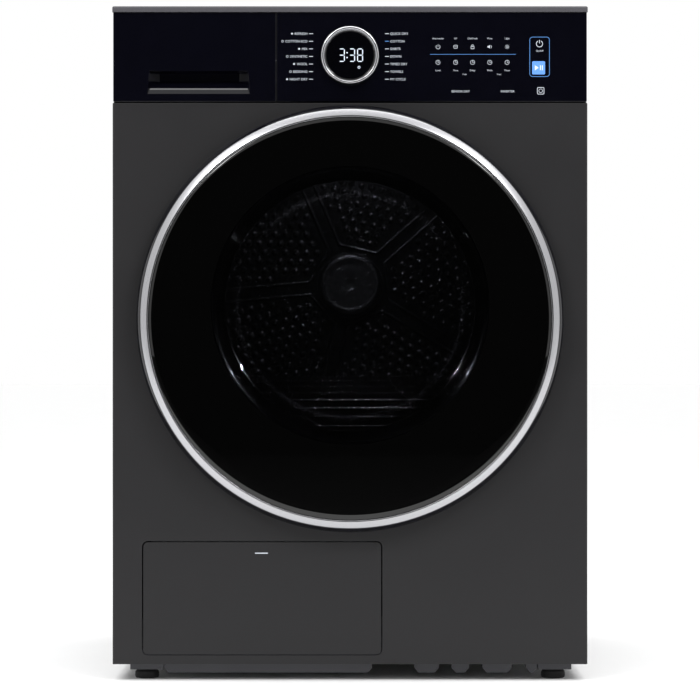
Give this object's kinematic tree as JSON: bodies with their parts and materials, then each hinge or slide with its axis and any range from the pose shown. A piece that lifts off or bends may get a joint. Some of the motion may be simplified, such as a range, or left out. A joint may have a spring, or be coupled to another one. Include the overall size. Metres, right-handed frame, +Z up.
{
  "type": "clothes dryer",
  "caption": "Front-loading heat pump clothes dryer with a round glass door, control dial, water tank drawer and lower access flap.",
  "frame": {"origin": "on the floor, under the middle of the machine's bounding box", "axes": "+Z up, the door faces -Y, +X is the right side seen from the front"},
  "size_m": [0.595, 0.636, 0.845],
  "materials": {
    "graphite_paint": "satin graphite powder coat",
    "worktop_laminate": "grey edge, fine matt grain",
    "galvanised_sheet": "galvanised sheet with a faint spangle",
    "gloss_black_abs": "polished black",
    "satin_silver_trim": "satin silver plating",
    "door_glass_black": "dark tinted glass",
    "dial_lens_black": "dark tinted lens",
    "clear_bowl": "clear moulding, polished",
    "tank_clear": "translucent grey",
    "black_pp": "fine moulded grain",
    "grey_pp": "fine moulded grain",
    "drum_steel": "rolled stainless sheet",
    "steel_parts": "turned steel",
    "fin_aluminium": "thin bright fins",
    "black_rubber": "dull rubber",
    "grey_felt": "dense felt",
    "circuit_board": "green solder mask",
    "filter_mesh": "grey frame with fine mesh"
  },
  "bodies": {
    "cabinet": {"front_panel": "graphite_paint", "left_side_panel": "graphite_paint", "right_side_panel": "graphite_paint", "rear_panel": "galvanised_sheet", "worktop": "worktop_laminate", "rear_duct_cover": "black_pp", "power_inlet": "black_pp", "base_tray": "black_pp", "control_panel": "gloss_black_abs", "control_board": "circuit_board", "tank_guide": "grey_pp", "front_bulkhead": "black_pp", "latch_housing": "grey_pp", "door_hinge_bracket": "steel_parts", "heat_exchanger_cover": "grey_pp", "evaporator": "fin_aluminium", "condenser": "fin_aluminium", "compressor": "steel_parts", "condensate_pump": "grey_pp", "display_lens": "dial_lens_black", "front_felt_seal": "grey_felt", "rear_air_duct": "galvanised_sheet", "bearing_bracket": "galvanised_sheet", "rear_bearing": "steel_parts", "motor": "steel_parts", "fan_housing": "black_pp", "drum_belt": "black_rubber"},
    "door": {"door_bezel": "gloss_black_abs", "door_trim_ring": "satin_silver_trim", "door_glass": "door_glass_black", "door_inner_frame": "black_pp", "door_bowl": "clear_bowl", "door_seal": "black_rubber", "door_strike": "steel_parts", "door_hinge_leaf": "steel_parts", "door_hinge_pin": "steel_parts"},
    "drum": {"drum_shell": "drum_steel", "drum_back": "drum_steel", "drum_hub_cap": "drum_steel", "drum_shaft": "steel_parts", "lifter_1": "grey_pp", "lifter_2": "grey_pp", "lifter_3": "grey_pp"},
    "roller_left": {"drum_roller_left": "black_rubber"},
    "roller_right": {"drum_roller_right": "black_rubber"},
    "motor_rotor": {"motor_pulley": "steel_parts", "fan_wheel": "black_pp"},
    "tensioner": {"idler_arm": "steel_parts"},
    "idler": {"idler_pulley": "black_pp"},
    "tank_drawer": {"tank_front": "gloss_black_abs", "water_tank": "tank_clear"},
    "dial": {"program_dial": "satin_silver_trim"},
    "flap": {"access_flap": "graphite_paint"},
    "lock_left": {"cover_lock_left": "black_pp"},
    "lock_right": {"cover_lock_right": "black_pp"},
    "filter": {"lint_filter": "filter_mesh"},
    "foot_fl": {"foot_front_left": "black_rubber"},
    "foot_fr": {"foot_front_right": "black_rubber"},
    "foot_rl": {"foot_rear_left": "black_rubber"},
    "foot_rr": {"foot_rear_right": "black_rubber"}
  },
  "joints": [
    {"name": "door_swing", "type": "hinge", "parent": "cabinet", "child": "door", "pos_m": [0.2505, -0.301, 0.4535], "axis": [0, 0, 1], "range_deg": [0, 105]},
    {"name": "drum_spin", "type": "hinge", "parent": "cabinet", "child": "drum", "pos_m": [0, 0, 0.508], "axis": [0, 1, 0], "continuous": true},
    {"name": "roller_left_spin", "type": "hinge", "parent": "cabinet", "child": "roller_left", "pos_m": [-0.16633, -0.165, 0.25187], "axis": [0, 1, 0], "continuous": true},
    {"name": "roller_right_spin", "type": "hinge", "parent": "cabinet", "child": "roller_right", "pos_m": [0.16633, -0.165, 0.25187], "axis": [0, 1, 0], "continuous": true},
    {"name": "motor_spin", "type": "hinge", "parent": "cabinet", "child": "motor_rotor", "pos_m": [0.175, 0, 0.13], "axis": [0, 1, 0], "continuous": true},
    {"name": "tensioner_pivot", "type": "hinge", "parent": "cabinet", "child": "tensioner", "pos_m": [0.128, -0.068, 0.082], "axis": [0, -1, 0], "range_deg": [0, 20], "stiffness_Nm_per_rad": 1.5, "springref_deg": -28.65},
    {"name": "idler_spin", "type": "hinge", "parent": "tensioner", "child": "idler", "pos_m": [0.08063, -0.081, 0.14247], "axis": [0, 1, 0], "continuous": true},
    {"name": "tank_slide", "type": "slide", "parent": "cabinet", "child": "tank_drawer", "axis": [0, -1, 0], "range_m": [0, 0.44]},
    {"name": "dial_turn", "type": "hinge", "parent": "cabinet", "child": "dial", "pos_m": [0, -0.286, 0.783], "axis": [0, 1, 0], "continuous": true},
    {"name": "flap_tilt", "type": "hinge", "parent": "cabinet", "child": "flap", "pos_m": [-0.11, -0.279, 0.041], "axis": [1, 0, 0], "range_deg": [0, 95]},
    {"name": "lock_left_turn", "type": "hinge", "parent": "cabinet", "child": "lock_left", "pos_m": [-0.232, -0.273, 0.106], "axis": [0, 1, 0], "range_deg": [0, 90]},
    {"name": "lock_right_turn", "type": "hinge", "parent": "cabinet", "child": "lock_right", "pos_m": [0.012, -0.273, 0.106], "axis": [0, 1, 0], "range_deg": [0, 90]},
    {"name": "filter_slide", "type": "slide", "parent": "cabinet", "child": "filter", "axis": [0, 0, 1], "range_m": [0, 0.18]},
    {"name": "foot_fl_level", "type": "slide", "parent": "cabinet", "child": "foot_fl", "axis": [0, 0, -1], "range_m": [0, 0.012]},
    {"name": "foot_fr_level", "type": "slide", "parent": "cabinet", "child": "foot_fr", "axis": [0, 0, -1], "range_m": [0, 0.012]},
    {"name": "foot_rl_level", "type": "slide", "parent": "cabinet", "child": "foot_rl", "axis": [0, 0, -1], "range_m": [0, 0.012]},
    {"name": "foot_rr_level", "type": "slide", "parent": "cabinet", "child": "foot_rr", "axis": [0, 0, -1], "range_m": [0, 0.012]}
  ],
  "couplings": [
    {"joint": "roller_left_spin", "follows": "drum_spin", "ratio": -7.7143},
    {"joint": "roller_right_spin", "follows": "drum_spin", "ratio": -7.7143},
    {"joint": "motor_spin", "follows": "drum_spin", "ratio": 23.609},
    {"joint": "idler_spin", "follows": "drum_spin", "ratio": -13.923}
  ]
}
